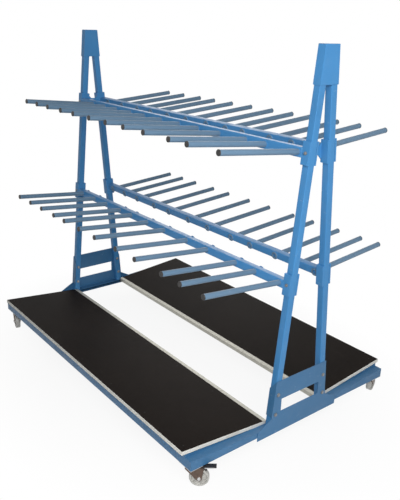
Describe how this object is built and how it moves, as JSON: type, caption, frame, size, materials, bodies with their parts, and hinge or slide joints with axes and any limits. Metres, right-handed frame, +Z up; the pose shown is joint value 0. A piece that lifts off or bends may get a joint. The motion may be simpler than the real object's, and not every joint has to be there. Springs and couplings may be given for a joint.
{
  "type": "long material cart",
  "caption": "Long material cart: sloping plywood decks on a low steel base with swivel casters, an A-frame at each end, and beams that carry rows of tilted pegs on both sides.",
  "frame": {"origin": "on the ground, at the crossing of the cart's two middle planes; the turned casters and a brake pedal reach a little further on one side, so the measured box is centred within 17 mm of it", "axes": "+X along the cart to the end nearer the camera, +Y across it to the side away from the camera, +Z up"},
  "size_m": [2.2796, 1.5347, 2.052],
  "materials": {
    "blue_paint": "semi-gloss powder coat, a little worn",
    "film_plywood": "dark brown phenolic film on birch plywood, sealed pale edges",
    "pale_aluminium": "plain mill finish, dull",
    "zinc_steel": "zinc plated",
    "fork_steel": "yellow-brown passivated zinc",
    "grey_nylon": "plain cast nylon, light grey",
    "black_plastic": "moulded, matt"
  },
  "bodies": {
    "chassis": {"bearer_front_1": "blue_paint", "bearer_front_2": "blue_paint", "bearer_front_3": "blue_paint", "bearer_rear_1": "blue_paint", "bearer_rear_2": "blue_paint", "bearer_rear_3": "blue_paint", "cap_sleeve_far": "blue_paint", "cap_sleeve_near": "blue_paint", "caster_plate_far_front": "zinc_steel", "caster_plate_far_rear": "zinc_steel", "caster_plate_near_front": "zinc_steel", "caster_plate_near_rear": "zinc_steel", "deck_front": "film_plywood", "deck_rear": "film_plywood", "edge_trim_front": "pale_aluminium", "edge_trim_rear": "pale_aluminium", "end_beam_far": "blue_paint", "end_beam_near": "blue_paint", "foot_gusset_far": "blue_paint", "foot_gusset_near": "blue_paint", "gusset_bolt_far_front_high": "zinc_steel", "gusset_bolt_far_front_low": "zinc_steel", "gusset_bolt_far_rear_high": "zinc_steel", "gusset_bolt_far_rear_low": "zinc_steel", "gusset_bolt_near_front_high": "zinc_steel", "gusset_bolt_near_front_low": "zinc_steel", "gusset_bolt_near_rear_high": "zinc_steel", "gusset_bolt_near_rear_low": "zinc_steel", "inner_rail_front": "blue_paint", "inner_rail_rear": "blue_paint", "leg_far_front": "blue_paint", "leg_far_rear": "blue_paint", "leg_near_front": "blue_paint", "leg_near_rear": "blue_paint", "peg_beam_lower_front": "blue_paint", "peg_beam_lower_rear": "blue_paint", "peg_beam_upper_front": "blue_paint", "peg_beam_upper_rear": "blue_paint", "saddle_lower_far_front": "blue_paint", "saddle_lower_far_rear": "blue_paint", "saddle_lower_near_front": "blue_paint", "saddle_lower_near_rear": "blue_paint", "saddle_tie_upper_far": "blue_paint", "saddle_tie_upper_near": "blue_paint", "side_rail_front": "blue_paint", "side_rail_rear": "blue_paint"},
    "swivel_near_front": {"caster_fork_near_front": "fork_steel", "caster_axle_near_front": "zinc_steel"},
    "wheel_near_front": {"caster_wheel_near_front": "grey_nylon"},
    "brake_near_front": {"brake_pedal_near_front": "black_plastic"},
    "swivel_near_rear": {"caster_fork_near_rear": "fork_steel", "caster_axle_near_rear": "zinc_steel"},
    "wheel_near_rear": {"caster_wheel_near_rear": "grey_nylon"},
    "swivel_far_front": {"caster_fork_far_front": "fork_steel", "caster_axle_far_front": "zinc_steel"},
    "wheel_far_front": {"caster_wheel_far_front": "grey_nylon"},
    "swivel_far_rear": {"caster_fork_far_rear": "fork_steel", "caster_axle_far_rear": "zinc_steel"},
    "wheel_far_rear": {"caster_wheel_far_rear": "grey_nylon"}
  },
  "joints": [
    {"name": "swivel_near_front", "type": "hinge", "parent": "chassis", "child": "swivel_near_front", "pos_m": [1.0475, -0.6922, 0.11], "axis": [0, 0, 1], "continuous": true},
    {"name": "roll_near_front", "type": "hinge", "parent": "swivel_near_front", "child": "wheel_near_front", "pos_m": [1.0756, -0.66099, 0.05], "axis": [-0.7431, 0.6691, 0], "continuous": true},
    {"name": "brake_near_front", "type": "hinge", "parent": "swivel_near_front", "child": "brake_near_front", "pos_m": [1.08631, -0.6491, 0.1099], "axis": [-0.7431, 0.6691, 0], "range_deg": [0, 7]},
    {"name": "swivel_near_rear", "type": "hinge", "parent": "chassis", "child": "swivel_near_rear", "pos_m": [1.0475, 0.6922, 0.11], "axis": [0, 0, 1], "continuous": true},
    {"name": "roll_near_rear", "type": "hinge", "parent": "swivel_near_rear", "child": "wheel_near_rear", "pos_m": [1.03313, 0.73167, 0.05], "axis": [-0.9397, -0.342, 0], "continuous": true},
    {"name": "swivel_far_front", "type": "hinge", "parent": "chassis", "child": "swivel_far_front", "pos_m": [-1.0475, -0.6922, 0.11], "axis": [0, 0, 1], "continuous": true},
    {"name": "roll_far_front", "type": "hinge", "parent": "swivel_far_front", "child": "wheel_far_front", "pos_m": [-1.00693, -0.70307, 0.05], "axis": [0.2588, 0.9659, 0], "continuous": true},
    {"name": "swivel_far_rear", "type": "hinge", "parent": "chassis", "child": "swivel_far_rear", "pos_m": [-1.0475, 0.6922, 0.11], "axis": [0, 0, 1], "continuous": true},
    {"name": "roll_far_rear", "type": "hinge", "parent": "swivel_far_rear", "child": "wheel_far_rear", "pos_m": [-1.08644, 0.67647, 0.05], "axis": [0.3746, -0.9272, 0], "continuous": true}
  ]
}
